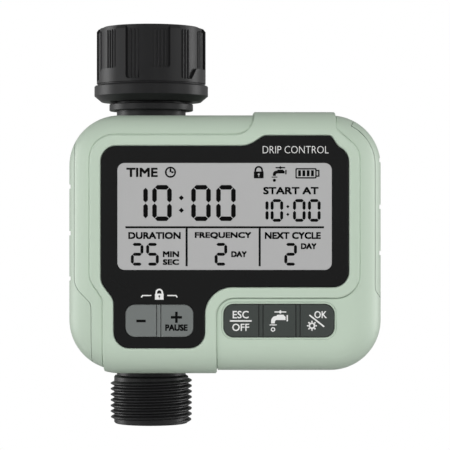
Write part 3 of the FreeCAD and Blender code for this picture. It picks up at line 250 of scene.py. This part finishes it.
# ---------------------------------------------------------------- flat marks
class Marks:
    """Thin printed shapes on a face that looks towards -Y, gathered in one mesh. Places are (x, z) in mm."""

    def __init__(self, y_mm):
        self.mesh = bmesh.new()
        self.front = y_mm - PRINT_T
        self.back = y_mm + PRINT_SINK

    def vertex(self, point, y):
        return self.mesh.verts.new((point[0] * MM, y * MM, point[1] * MM))

    def patch(self, outline):
        """A filled outline of any shape."""
        front = [self.vertex(p, self.front) for p in outline]
        back = [self.vertex(p, self.back) for p in outline]
        self.mesh.faces.new(front)
        self.mesh.faces.new(back[::-1])
        for i in range(len(outline)):
            self.mesh.faces.new((front[i - 1], back[i - 1], back[i], front[i]))

    def loop(self, outer, inner):
        """The band between two outlines with the same number of points."""
        rows = [[self.vertex(p, y) for p in line] for line, y in
                ((outer, self.front), (outer, self.back), (inner, self.back), (inner, self.front))]
        for i in range(len(outer)):
            for a, b in zip(rows, rows[1:] + rows[:1]):
                self.mesh.faces.new((a[i - 1], b[i - 1], b[i], a[i]))

    def bar(self, x0, x1, z0, z1):
        self.patch([(x0, z0), (x1, z0), (x1, z1), (x0, z1)])

    def disc(self, x, z, r, sides=24):
        self.patch(arc(x, z, r, 0, 360 - 360 / sides, sides))

    def ring(self, x, z, r, width, sides=32):
        last = 360 - 360 / sides
        self.loop(arc(x, z, r, 0, last, sides), arc(x, z, r - width, 0, last, sides))

    def stroke(self, path, width):
        """A line of even width along path, mitred at its corners."""
        sides = [[], []]
        for i, (x, z) in enumerate(path):
            ways = []
            for a, b in ((i - 1, i), (i, i + 1)):
                if a >= 0 and b < len(path):
                    ways.append(Vector((path[b][0] - path[a][0], path[b][1] - path[a][1])).normalized())
            along = sum(ways, Vector((0, 0))).normalized()
            reach = width / 2 / max(0.3, along.dot(ways[0]))
            sides[0].append((x - along.y * reach, z + along.x * reach))
            sides[1].append((x + along.y * reach, z - along.x * reach))
        self.patch(sides[0] + sides[1][::-1])

    def words(self, text, x0, x1, z0, z1, weight=0.0):
        """Capitals that fill x0..x1 by z0..z1, struck four times weight apart to make them bolder.

        A weight below zero thins them instead, by that share of the letter size.
        """
        curve = bpy.data.curves.new("letters", "FONT")
        curve.body = text
        curve.extrude = 0.5
        curve.offset = min(0.0, weight)
        curve.resolution_u = 3
        letters = bpy.data.objects.new("letters", curve)
        bpy.context.scene.collection.objects.link(letters)
        graph = bpy.context.evaluated_depsgraph_get()
        mesh = bpy.data.meshes.new_from_object(letters.evaluated_get(graph))
        weight = max(0.0, weight)
        left, right = min(v.co.x for v in mesh.vertices), max(v.co.x for v in mesh.vertices)
        low, high = min(v.co.y for v in mesh.vertices), max(v.co.y for v in mesh.vertices)
        wide, tall = x1 - x0 - 2 * weight, z1 - z0 - 2 * weight
        shifts = ((0, 0),) if not weight else ((0, 0), (2, 0), (0, 2), (2, 2))
        for layer, (i, j) in enumerate(shifts):
            strike = mesh.copy()
            for v in strike.vertices:
                x = x0 + (v.co.x - left) / (right - left) * wide + i * weight
                z = z0 + (v.co.y - low) / (high - low) * tall + j * weight
                y = self.front + layer * LAYER_T if v.co.z > 0 else self.back
                v.co = (x * MM, y * MM, z * MM)
            self.mesh.from_mesh(strike)
            bpy.data.meshes.remove(strike)
        bpy.data.objects.remove(letters)
        bpy.data.curves.remove(curve)
        bpy.data.meshes.remove(mesh)

    def upright_segment(self, x, z0, z1, t):
        h = t / 2
        self.patch([(x, z0), (x + h, z0 + h), (x + h, z1 - h), (x, z1), (x - h, z1 - h), (x - h, z0 + h)])

    def level_segment(self, x0, x1, z, t):
        h = t / 2
        self.patch([(x0, z), (x0 + h, z - h), (x1 - h, z - h), (x1, z), (x1 - h, z + h), (x0 + h, z + h)])

    def digit(self, value, x0, x1, z0, z1, t):
        """One seven-segment figure that fills the box."""
        h, gap, middle = t / 2, t * 0.1, (z0 + z1) / 2
        left, right = x0 + h, x1 - h
        for name in SEGMENTS[value]:
            if name in "TMB":
                z = {"T": z1 - h, "M": middle, "B": z0 + h}[name]
                self.level_segment(left + gap, right - gap, z, t)
            else:
                x = left if name in "lL" else right
                low, high = (middle, z1 - h) if name.isupper() else (z0 + h, middle)
                self.upright_segment(x, low + gap, high - gap, t)

    def finish(self, name, body, material):
        bmesh.ops.remove_doubles(self.mesh, verts=self.mesh.verts, dist=1e-8)
        bmesh.ops.recalc_face_normals(self.mesh, faces=self.mesh.faces)
        return add_piece(name, self.mesh, body, material)


# T, M, B are the top, middle and bottom bars; L, R the upper uprights and l, r the lower ones
SEGMENTS = {"0": "TBLRlr", "2": "TMBRl", "5": "TMBLr"}


def arc(x, z, r, start, end, count):
    """Points round a circle, from angle start to end in degrees."""
    angles = [math.radians(start + (end - start) * i / (count - 1)) for i in range(count)]
    return [(x + r * math.cos(a), z + r * math.sin(a)) for a in angles]


def rounded_box(x0, x1, z0, z1, r, steps=8):
    corners = ((x1 - r, z1 - r, 0), (x0 + r, z1 - r, 90), (x0 + r, z0 + r, 180), (x1 - r, z0 + r, 270))
    return [p for x, z, a in corners for p in arc(x, z, r, a, a + 90, steps)]


def add_piece(name, shape, body, material):
    """A flat-shaded piece made from a bmesh, riding on one of the joint bodies."""
    mesh = bpy.data.meshes.new(name)
    shape.to_mesh(mesh)
    shape.free()
    mesh.materials.append(material)
    piece = bpy.data.objects.new(name, mesh)
    bpy.context.scene.collection.objects.link(piece)
    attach(piece, body)
    return piece


# ---------------------------------------------------------------- icons
def padlock(marks, x, z, width):
    """A closed padlock with a keyhole, whose body's bottom edge is centred on (x, z)."""
    half, tall = width / 2, width * 0.70
    middle = z + tall * 0.5
    eye, slot_half, slot_low = width * 0.105, width * 0.05, width * 0.25
    edge, hole = [], []
    for i in range(48):
        a = math.radians(7.5 * i)
        c, s = math.cos(a), math.sin(a)
        square = max(abs(c), abs(s))
        edge.append((x + half * c / square, middle + tall / 2 * s / square))
        if s < 0 and abs(c) * slot_low <= -s * slot_half:
            hole.append((x + slot_low * c / -s, middle - slot_low + eye * 0.5))
        else:
            hole.append((x + eye * c, middle + eye * s + eye * 0.5))
    marks.loop(edge, hole)
    r = half * 0.68
    bend = z + tall + width * 0.14
    shackle = [(x - r * 1.06, z + tall), *arc(x, bend, r, 180, 0, 13), (x + r * 1.06, z + tall)]
    marks.stroke(shackle, width * 0.185)


def tap_icon(marks, x, z, width, height, hollow_drop, bold=0.0):
    """A dripping tap seen from the side, centred on (x, z): handle, body with spout, flange, ledge and drop.

    It is drawn on a grid 10 wide and 12 tall, and bold thickens its thin bars by that much of a grid square.
    """
    u, v = width / 10, height / 12

    def shape(corners):
        marks.patch([(x + a * u, z + b * v) for a, b in corners])

    low, high = 4.5 - bold, 5.1 + bold
    handle = ((-2.3, low), (0.1, low), (0.9, low - 0.7), (1.7, low), (4.1, low),
              (4.1, high), (1.6, high), (0.9, high + 0.8), (0.2, high), (-2.3, high))
    body = ((-1.0, 3.1), (-0.7, 3.3), (2.6, 3.3), (3.0, 2.8), (3.7, 2.1), (3.75, 0.4),
            (-1.3, 0.4), (-1.9, 0.05), (-2.1, -0.5), (-2.2, -1.45), (-4.15, -1.45),
            (-4.1, 0.3), (-3.75, 1.3), (-3.1, 2.05), (-2.4, 2.45), (-1.2, 2.6))
    flange = ((4.3 - bold, -0.3), (5.0, -0.3), (5.0, 3.1), (4.3 - bold, 3.1))
    ledge = ((-5.0, -2.5 - bold), (-1.1, -2.5 - bold), (-1.1, -2.0), (-5.0, -2.0))
    for corners in (handle, body, flange, ledge):
        shape(corners)
    drop = x - 3.1 * u
    if hollow_drop:
        marks.ring(drop, z - 4.7 * v, 1.2 * u, 0.55 * u, 24)
    else:
        marks.disc(drop, z - 4.8 * v, 1.05 * u, 20)


def clock_icon(marks, x, z, r):
    """A clock face at three o'clock, with a dot at each quarter."""
    marks.ring(x, z, r, r * 0.3)
    t = r * 0.32
    marks.bar(x - t / 2, x + t / 2, z, z + r * 0.62)
    marks.bar(x + t / 2, x + r * 0.55, z - t / 2, z + t / 2)
    for a in range(4):
        px, pz = arc(x, z, r * 0.72, a * 90, a * 90, 2)[0]
        marks.disc(px, pz, r * 0.11, 8)


def battery_icon(marks, x0, x1, z0, z1, bars):
    """A lying battery outline with a tip at its right end and level bars inside."""
    wall, tip, edge, gap = 0.42, 0.9, 0.86, 0.45
    rim = rounded_box(x0, x1 - tip, z0, z1, 0.4, 5)
    marks.loop(rim, rounded_box(x0 + wall, x1 - tip - wall, z0 + wall, z1 - wall, 0.15, 5))
    middle, reach, root_x, tip_x = (z0 + z1) / 2, (z1 - z0) * 0.27, x1 - tip, x1 - wall / 2
    high, low = middle + reach, middle - reach
    marks.stroke([(root_x, high), (tip_x, high), (tip_x, low), (root_x, low)], wall)
    pitch = (x1 - tip - x0 - 2 * edge + gap) / bars
    for i in range(bars):
        left = x0 + edge + pitch * i
        marks.bar(left, left + pitch - gap, z0 + 0.72, z1 - 0.66)


def cog_icon(marks, x, z, r):
    """A cog: square-ended teeth round a hub ring."""
    teeth = 8
    marks.ring(x, z, r * 0.68, r * 0.32)
    for i in range(teeth):
        a = math.radians(360 / teeth * i)
        c, s = math.cos(a), math.sin(a)
        marks.stroke([(x + r * 0.6 * c, z + r * 0.6 * s), (x + r * c, z + r * s)], r * 0.28)


# ---------------------------------------------------------------- lens and display
WINDOW_X0, WINDOW_X1 = -9.65, 57.4
WINDOW_Z0, WINDOW_Z1 = -64.05, -30.6
WINDOW_R = 2.2
GLASS_BACK = 0.06  # the display's picture lies this far behind the lens face
WINDOW_GAP = 0.01  # clearance between the display's face and the lens round it


def make_lens(looks):
    """The black-printed lens with its clear window, and the display's grey face in that window."""
    low, high = box_mm("display_lens")
    source = frame["nodes"]["display_lens"]
    lens = bpy.data.objects.new("lens_plate", source.data.copy())
    bpy.context.scene.collection.objects.link(lens)
    lens.data.materials.clear()
    lens.data.materials.append(looks["lens_black"])
    cutter = bmesh.new()
    outline = rounded_box(WINDOW_X0, WINDOW_X1, WINDOW_Z0, WINDOW_Z1, WINDOW_R)
    solid_between(cutter, outline, low.y - 1, high.y + 1)
    tool_mesh = bpy.data.meshes.new("window_cut")
    cutter.to_mesh(tool_mesh)
    cutter.free()
    tool = bpy.data.objects.new("window_cut", tool_mesh)
    bpy.context.scene.collection.objects.link(tool)
    cut = lens.modifiers.new("window", "BOOLEAN")
    cut.operation = "DIFFERENCE"
    cut.solver = "EXACT"
    cut.object = tool
    graph = bpy.context.evaluated_depsgraph_get()
    lens.data = bpy.data.meshes.new_from_object(lens.evaluated_get(graph))
    lens.modifiers.clear()
    lens.data.shade_flat()
    bpy.data.objects.remove(tool)
    bpy.data.meshes.remove(tool_mesh)
    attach(lens, "housing")
    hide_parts("display_lens")

    face = bmesh.new()
    inner = rounded_box(WINDOW_X0 + WINDOW_GAP, WINDOW_X1 - WINDOW_GAP, WINDOW_Z0 + WINDOW_GAP,
                        WINDOW_Z1 - WINDOW_GAP, WINDOW_R)
    solid_between(face, inner, low.y + GLASS_BACK, high.y)
    panel = add_piece("display_face", face, "housing", looks["lcd_glass"])
    make_display_marks(looks, low.y + GLASS_BACK)
    make_lens_print(looks, low.y)


def solid_between(mesh, outline, y0, y1):
    """A prism through an outline, from depth y0 to y1 in mm."""
    front = [mesh.verts.new((x * MM, y0 * MM, z * MM)) for x, z in outline]
    back = [mesh.verts.new((x * MM, y1 * MM, z * MM)) for x, z in outline]
    mesh.faces.new(front)
    mesh.faces.new(back[::-1])
    for i in range(len(outline)):
        mesh.faces.new((front[i - 1], back[i - 1], back[i], front[i]))
    bmesh.ops.remove_doubles(mesh, verts=mesh.verts, dist=1e-8)
    bmesh.ops.recalc_face_normals(mesh, faces=mesh.faces)


FIGURE_WIDTH = 3.95  # of each small figure
RULE_HALF = 0.33  # half the width of an upright rule
CAPTION_WEIGHT = 0.125  # how far apart a display word is struck to make it bolder


def make_display_marks(looks, y):
    """Figures, captions, rules and icons; across is mm from the window's left edge and down from its top."""
    marks = Marks(y)

    def x(across):
        return WINDOW_X0 + across

    def z(down):
        return WINDOW_Z1 - down

    def words(text, left, right, top, bottom, weight=CAPTION_WEIGHT):
        marks.words(text, x(left), x(right), z(bottom), z(top), weight)

    def figures(text, lefts, width, top, bottom, t):
        for value, left in zip(text, lefts):
            if value == "1":
                middle = (z(top) + z(bottom)) / 2
                for low, high in ((z(bottom) + t / 2, middle), (middle, z(top) - t / 2)):
                    marks.upright_segment(x(left) + t / 2, low + t * 0.1, high - t * 0.1, t)
            else:
                marks.digit(value, x(left), x(left + width), z(bottom), z(top), t)

    def colon(across, downs, r):
        for down in downs:
            marks.disc(x(across), z(down), r, 4)

    words("TIME", 2.8, 12.6, 1.5, 4.4, 0.14)
    clock_icon(marks, x(16.6), z(2.9), 1.75)
    padlock(marks, x(44.2), z(4.8), 3.05)
    tap_icon(marks, x(50.55), z(3.45), 4.7, 4.95, False, 0.2)
    battery_icon(marks, x(55.66), x(63.2), z(4.87), z(1.62), 4)
    figures("1000", (8.1, 10.9, 23.1, 30.9), 6.1, 6.9, 18.15, 1.42)
    colon(20.0, (10.9, 14.8), 0.8)
    words("START AT", 45.6, 62.9, 7.5, 9.85)
    figures("1000", (46.3, 47.9, 54.9, 59.6), FIGURE_WIDTH, 11.3, 18.4, 0.96)
    colon(53.3, (13.65, 16.1), 0.52)
    marks.bar(x(2.5), x(64.6), z(20.43), z(19.8))
    for across in (21.65, 44.5):
        marks.bar(x(across) - RULE_HALF, x(across) + RULE_HALF, z(32.3), z(20.44))
    captions = (("DURATION", 3.4, 19.8), ("FREQUENCY", 24.2, 41.9), ("NEXT CYCLE", 46.1, 63.6))
    for caption, left, right in captions:
        words(caption, left, right, 21.6, 23.8)
    for text, lefts in (("25", (4.2, 9.0)), ("2", (30.4,)), ("2", (52.2,))):
        figures(text, lefts, FIGURE_WIDTH, 25.0, 32.1, 0.94)
    words("MIN", 14.2, 19.3, 27.6, 29.45)
    words("SEC", 14.2, 19.3, 30.1, 31.9)
    words("DAY", 35.6, 40.5, 27.6, 29.45)
    words("DAY", 57.4, 62.3, 25.1, 26.95)
    marks.finish("display_marks", "housing", looks["ink_black"])


def make_lens_print(looks, y):
    """The name over the window, and the padlock between two brackets over the grey keys."""
    marks = Marks(y)
    marks.words("DRIP CONTROL", 35.8, 56.4, -27.6, -25.3, -0.014)
    lock_x, bracket_z, hook_z = 3.45, -72.05, -72.65
    padlock(marks, lock_x, -73.35, 2.7)
    for side in (-1, 1):
        near, far, tip = (lock_x + side * reach for reach in (2.5, 5.25, 5.6))
        marks.stroke([(near, bracket_z), (far, bracket_z), (tip, hook_z)], 0.36)
    marks.finish("lens_print", "housing", looks["ink_white"])


# ---------------------------------------------------------------- key legends
KEY_WEIGHT = 0.04  # of the white words on the dark keys


def make_key_marks(looks):
    """Each key's own print rides on that key."""
    grey = box_mm("key_minus")[0].y
    dark = box_mm("key_escape")[0].y

    def centre(node):
        low, high = box_mm(node)
        return (low.x + high.x) / 2

    minus = Marks(grey)
    x = centre("key_minus")
    minus.bar(x - 1.45, x + 1.5, -80.4, -79.6)
    minus.finish("minus_print", "minus_key", looks["ink_black"])

    plus = Marks(grey)
    x = centre("key_plus") - 0.25
    arm, half, z = 1.75, 0.4, -78.85
    cross = ((half, half), (half, arm), (-half, arm), (-half, half), (-arm, half), (-arm, -half),
             (-half, -half), (-half, -arm), (half, -arm), (half, -half), (arm, -half), (arm, half))
    plus.patch([(x + a, z + b) for a, b in cross])
    plus.words("PAUSE", x - 3.5, x + 3.5, -83.1, -81.05, 0.12)
    plus.finish("plus_print", "plus_key", looks["ink_black"])

    escape = Marks(dark)
    x = centre("key_escape") - 0.2
    escape.words("ESC", x - 2.5, x + 2.5, -79.2, -76.85, KEY_WEIGHT)
    escape.bar(x - 3.4, x + 3.4, -80.22, -79.78)
    escape.words("OFF", x - 2.65, x + 2.65, -83.15, -80.85, KEY_WEIGHT)
    escape.finish("escape_print", "escape_key", looks["ink_white"])

    manual = Marks(dark)
    tap_icon(manual, centre("key_manual") - 0.25, -79.95, 5.75, 6.9, True)
    manual.finish("manual_print", "manual_key", looks["ink_white"])

    confirm = Marks(dark)
    x = centre("key_confirm")
    confirm.words("OK", x - 0.9, x + 3.0, -79.15, -76.9, KEY_WEIGHT)
    confirm.stroke([(x - 2.45, -78.15), (x + 2.15, -81.8)], 0.46)
    cog_icon(confirm, x - 1.65, -81.5, 1.55)
    confirm.finish("confirm_print", "confirm_key", looks["ink_white"])


# ---------------------------------------------------------------- outlet
PITCH = 1.814
ROOT_R, CREST_R = 12.06, 13.2
END_CREST_R = 13.0  # where the thread's last turn has been cut back
ROOT_HALF, CREST_HALF = 0.74, 0.16  # half the ridge's height along Z, at its root and at its crest
SINK_R, SINK_HALF = 0.3, 0.8  # how far the ridge reaches into the core, and half its height there
THREAD_TOP, THREAD_LIFT = -99.6, 0.85  # where the ridge starts, and how far above the fitting's end it stops
STEPS = 72  # facets round a turn


def ring_of(mesh, a, profile):
    """Vertices at angle a round Z, from (radius, z) corners in mm."""
    c, s = math.cos(a), math.sin(a)
    return [mesh.verts.new((r * c * MM, r * s * MM, z * MM)) for r, z in profile]


def lathe(mesh, profile):
    """A closed turned solid about Z from (radius, z) corners in mm."""
    rings = [ring_of(mesh, 2 * math.pi * i / STEPS, profile) for i in range(STEPS)]
    for i in range(STEPS):
        for j in range(len(profile)):
            mesh.faces.new((rings[i - 1][j - 1], rings[i][j - 1], rings[i][j], rings[i - 1][j]))


def helix(mesh, top, bottom):
    """A helical ridge wound down from top to bottom, fading in and out, its crest cut back at the end."""
    turns = (top - bottom) / PITCH
    count = round(turns * STEPS)
    rows = []
    for i in range(count + 1):
        turn = i / STEPS
        a = math.pi - 2 * math.pi * turn
        z = top - turn * PITCH
        fade = min(1.0, turn * 2.5 + 0.02, (turns - turn) * 8 + 0.02)
        crest = CREST_R - (CREST_R - END_CREST_R) * max(0.0, 1 - (z - bottom) / PITCH)
        r = ROOT_R + (crest - ROOT_R) * fade
        foot = ROOT_HALF * fade + 0.02
        section = ((ROOT_R - SINK_R, z + SINK_HALF), (ROOT_R, z + foot), (r, z + CREST_HALF),
                   (r, z - CREST_HALF), (ROOT_R, z - foot), (ROOT_R - SINK_R, z - SINK_HALF))
        rows.append(ring_of(mesh, a, section))
    for one, two in zip(rows, rows[1:]):
        for j in range(len(one)):
            mesh.faces.new((one[j - 1], one[j], two[j], two[j - 1]))
    mesh.faces.new(rows[0])
    mesh.faces.new(rows[-1][::-1])


def make_outlet(looks):
    """The outlet fitting with a true helical thread, in place of the parallel rings of the CAD node."""
    low, high = box_mm("outlet_fitting")
    core = bmesh.new()
    spigot_r, neck_r, flange_r, relief_r = 9.6, 11.8, 15.0, 11.2
    flange_top, flange_bottom = -80.02, -83.0
    bore_r, wide_bore_r, chamfer, lead_in = 6.5, 8.2, 0.4, 0.8
    outside = [(spigot_r, high.z), (spigot_r, -70.0), (neck_r, -71.0), (neck_r, flange_top),
               (flange_r, flange_top), (flange_r, flange_bottom), (relief_r, flange_bottom),
               (relief_r, -98.6), (ROOT_R, -99.2), (ROOT_R, low.z + chamfer), (ROOT_R - chamfer, low.z)]
    inside = [(wide_bore_r + lead_in, low.z), (wide_bore_r, low.z + lead_in), (wide_bore_r, -82.0),
              (bore_r, -78.0)]
    lathe(core, [(bore_r, high.z), *outside, *inside])
    bmesh.ops.recalc_face_normals(core, faces=core.faces)
    body = add_piece("outlet_body", core, "housing", looks["black_plastic"])
    ridge = bmesh.new()
    helix(ridge, THREAD_TOP, low.z + THREAD_LIFT)
    bmesh.ops.recalc_face_normals(ridge, faces=ridge.faces)
    thread = add_piece("outlet_thread", ridge, "housing", looks["black_plastic"])
    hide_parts("outlet_fitting")


# ---------------------------------------------------------------- setting
GLOSSY_GLOW, AMBIENT_GLOW = 0.36, 0.08  # the studio's even fill is the second; reflections see both
FLOOR_R, FLOOR_DROP = 0.3, 0.046
CAMERA_PLACE = (0.024, -0.677, -0.050)
LENS_LENGTH = 166.4


def area_light(name, place, aim, size, energy, mirrored=True):
    """A soft rectangle of light; one that isn't mirrored leaves no highlight on the part."""
    lamp = bpy.data.lights.new(name, "AREA")
    lamp.shape = "RECTANGLE"
    lamp.size, lamp.size_y = size
    lamp.energy = energy
    light = bpy.data.objects.new(name, lamp)
    light.location = place
    light.rotation_mode = "QUATERNION"
    light.rotation_quaternion = (Vector(aim) - Vector(place)).to_track_quat("-Z", "Y")
    light.visible_glossy = mirrored
    bpy.context.scene.collection.objects.link(light)


def make_setting():
    """A white studio: soft boxes at the front, the sides and the back, and a pale round floor."""
    bpy.context.scene.view_settings.view_transform = "Standard"
    low, high = (Vector(corner) for corner in cad_box)
    middle = (low + high) / 2
    world = bpy.data.worlds.new("studio")
    bpy.context.scene.world = world
    world.use_nodes = True
    tree = world.node_tree
    glow = tree.nodes["Background"]
    glow.inputs["Color"].default_value = (1, 1, 1, 1)
    fill = tree.nodes.new("ShaderNodeMath")
    fill.operation = "MULTIPLY_ADD"
    fill.inputs[1].default_value = GLOSSY_GLOW
    fill.inputs[2].default_value = AMBIENT_GLOW
    tree.links.new(fill.outputs["Value"], glow.inputs["Strength"])
    seen = tree.nodes.new("ShaderNodeBackground")
    seen.inputs["Color"].default_value = (1, 1, 1, 1)
    seen.inputs["Strength"].default_value = 1.0
    pick = tree.nodes.new("ShaderNodeMixShader")
    ray = tree.nodes.new("ShaderNodeLightPath")
    tree.links.new(ray.outputs["Is Glossy Ray"], fill.inputs[0])
    tree.links.new(ray.outputs["Is Camera Ray"], pick.inputs["Fac"])
    tree.links.new(glow.outputs["Background"], pick.inputs[1])
    tree.links.new(seen.outputs["Background"], pick.inputs[2])
    tree.links.new(pick.outputs["Shader"], tree.nodes["World Output"].inputs["Surface"])

    box, strip = (0.4, 0.4), (0.2, 0.5)
    area_light("front_softbox", (middle.x, -0.8, middle.z + 0.2), middle, box, 4.9, False)
    area_light("left_softbox", (middle.x - 0.62, -0.46, middle.z + 0.1), middle, box, 0.8)
    area_light("right_softbox", (middle.x + 0.66, -0.46, middle.z + 0.1), middle, box, 0.6)
    area_light("left_strip", (middle.x - 0.6, 0.14, middle.z), middle, strip, 1.9)
    area_light("right_strip", (middle.x + 0.6, 0.14, middle.z), middle, strip, 2.0)
    area_light("back_softbox", (middle.x - 0.1, 0.85, middle.z + 0.12), middle, box, 3.6, False)

    floor_mesh = bmesh.new()
    bmesh.ops.create_circle(floor_mesh, cap_ends=True, segments=96, radius=FLOOR_R)
    mesh = bpy.data.meshes.new("floor")
    floor_mesh.to_mesh(mesh)
    floor_mesh.free()
    mesh.materials.append(surface("pale_floor", (0.64, 0.64, 0.64), 0.6, 0.8, 0.01, 0.01))
    floor = bpy.data.objects.new("floor", mesh)
    floor.location = (middle.x, middle.y, low.z - FLOOR_DROP)
    bpy.context.scene.collection.objects.link(floor)


def make_camera():
    """Level with the middle of the display side, far enough for the flat look of a long lens."""
    data = bpy.data.cameras.new("camera")
    data.sensor_width = 36.0
    data.lens = LENS_LENGTH
    camera = bpy.data.objects.new("camera", data)
    camera.location = CAMERA_PLACE
    camera.rotation_euler = (math.pi / 2, 0, 0)
    bpy.context.scene.collection.objects.link(camera)
    bpy.context.scene.camera = camera


def dress_nodes(looks):
    """Every CAD node takes the look of its own slot in the record."""
    for part in frame["record"]["subparts"]:
        node = frame["nodes"][part["node"]]
        node.data.materials.clear()
        node.data.materials.append(looks[part["material_slot"]])


def main():
    looks = make_materials()
    dress_nodes(looks)
    make_lens(looks)
    make_key_marks(looks)
    make_outlet(looks)
    make_setting()
    make_camera()


main()
